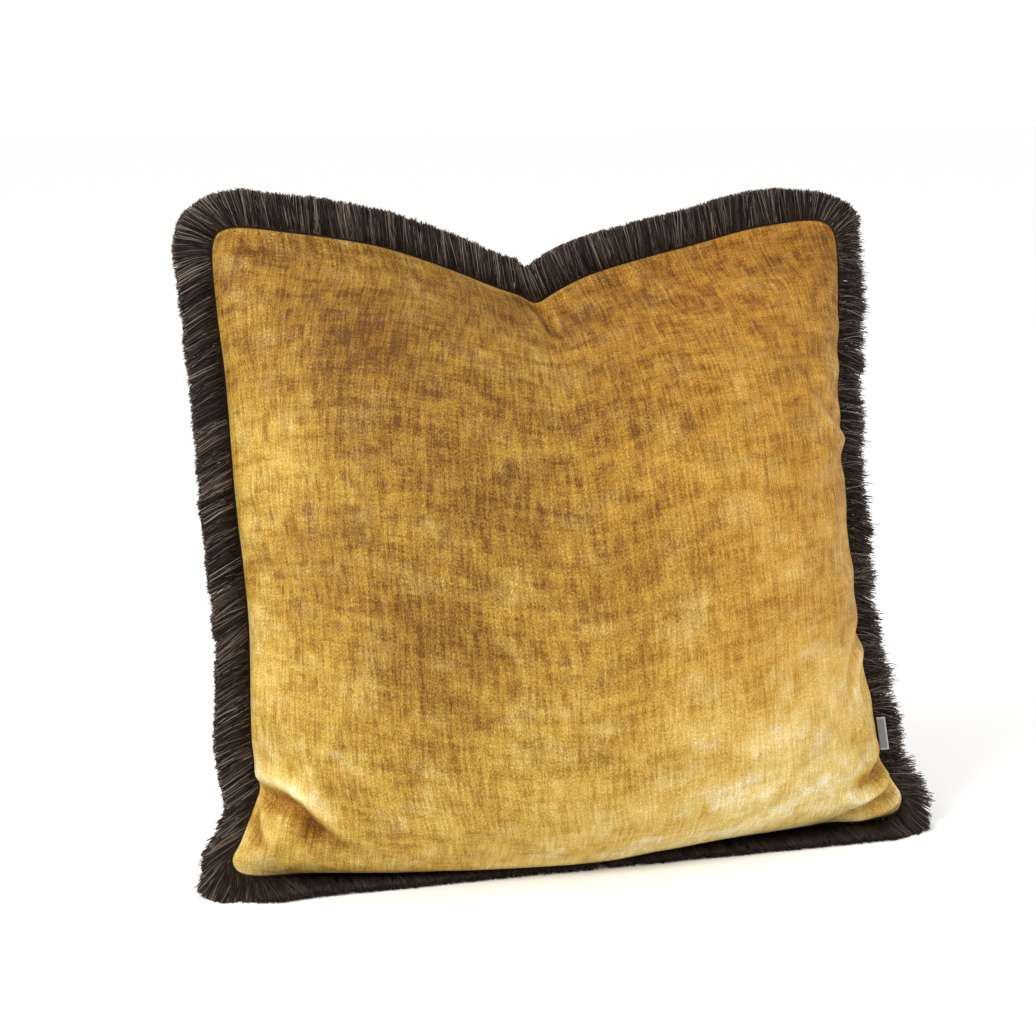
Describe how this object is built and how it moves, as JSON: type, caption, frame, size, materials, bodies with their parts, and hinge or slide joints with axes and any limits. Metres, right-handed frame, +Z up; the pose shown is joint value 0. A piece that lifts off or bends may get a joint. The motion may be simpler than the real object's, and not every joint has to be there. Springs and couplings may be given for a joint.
{
  "type": "throw pillow",
  "caption": "Square velvet throw pillow with a brush fringe round its seam, a dented top edge, a hidden zip and an inner pad, standing and leaning back.",
  "frame": {"origin": "middle of the whole pillow's footprint, on the floor", "axes": "+X to the pillow's right as seen from the front, +Y to the back, +Z up"},
  "size_m": [0.5522, 0.1934, 0.4791],
  "materials": {
    "velvet": "gold viscose velvet, crushed and mottled, soft sheen",
    "fringe_yarn": "dark brown cut viscose yarn, slightly glossy",
    "sewing_thread": "gold polyester sewing thread",
    "woven_label": "grey woven ribbon, blank, with a lighter border",
    "satin_label": "white satin ribbon, blank",
    "zip_tape": "gold woven polyester tape",
    "zip_coil": "gold nylon coil",
    "zip_metal": "antique brass, satin",
    "cotton": "white downproof cotton",
    "filling": "loose white filling"
  },
  "bodies": {
    "pillow": {"front_panel": "velvet", "back_panel": "velvet", "fringe_heading": "fringe_yarn", "cover_seam_thread": "sewing_thread", "fringe_bottom": "fringe_yarn", "fringe_right": "fringe_yarn", "fringe_top": "fringe_yarn", "fringe_left": "fringe_yarn", "side_label": "woven_label", "care_label": "satin_label", "zip_tape_front": "zip_tape", "zip_tape_back": "zip_tape", "zip_coil_front": "zip_coil", "zip_coil_back": "zip_coil", "zip_top_stop_front": "zip_metal", "zip_top_stop_back": "zip_metal", "zip_bottom_stop": "zip_metal", "pad_case_front": "cotton", "pad_case_back": "cotton", "pad_seam": "cotton", "pad_filling": "filling"},
    "zip_slider": {"zip_slider": "zip_metal"},
    "zip_pull": {"zip_pull": "zip_metal"}
  },
  "joints": [
    {"name": "zip_slide", "type": "slide", "parent": "pillow", "child": "zip_slider", "axis": [-1, 0, 0], "range_m": [0, 0.37]},
    {"name": "pull_swing", "type": "hinge", "parent": "zip_slider", "child": "zip_pull", "pos_m": [0.17841, -0.02977, 0.002], "axis": [0, -1, 0], "range_deg": [0, 180]}
  ]
}
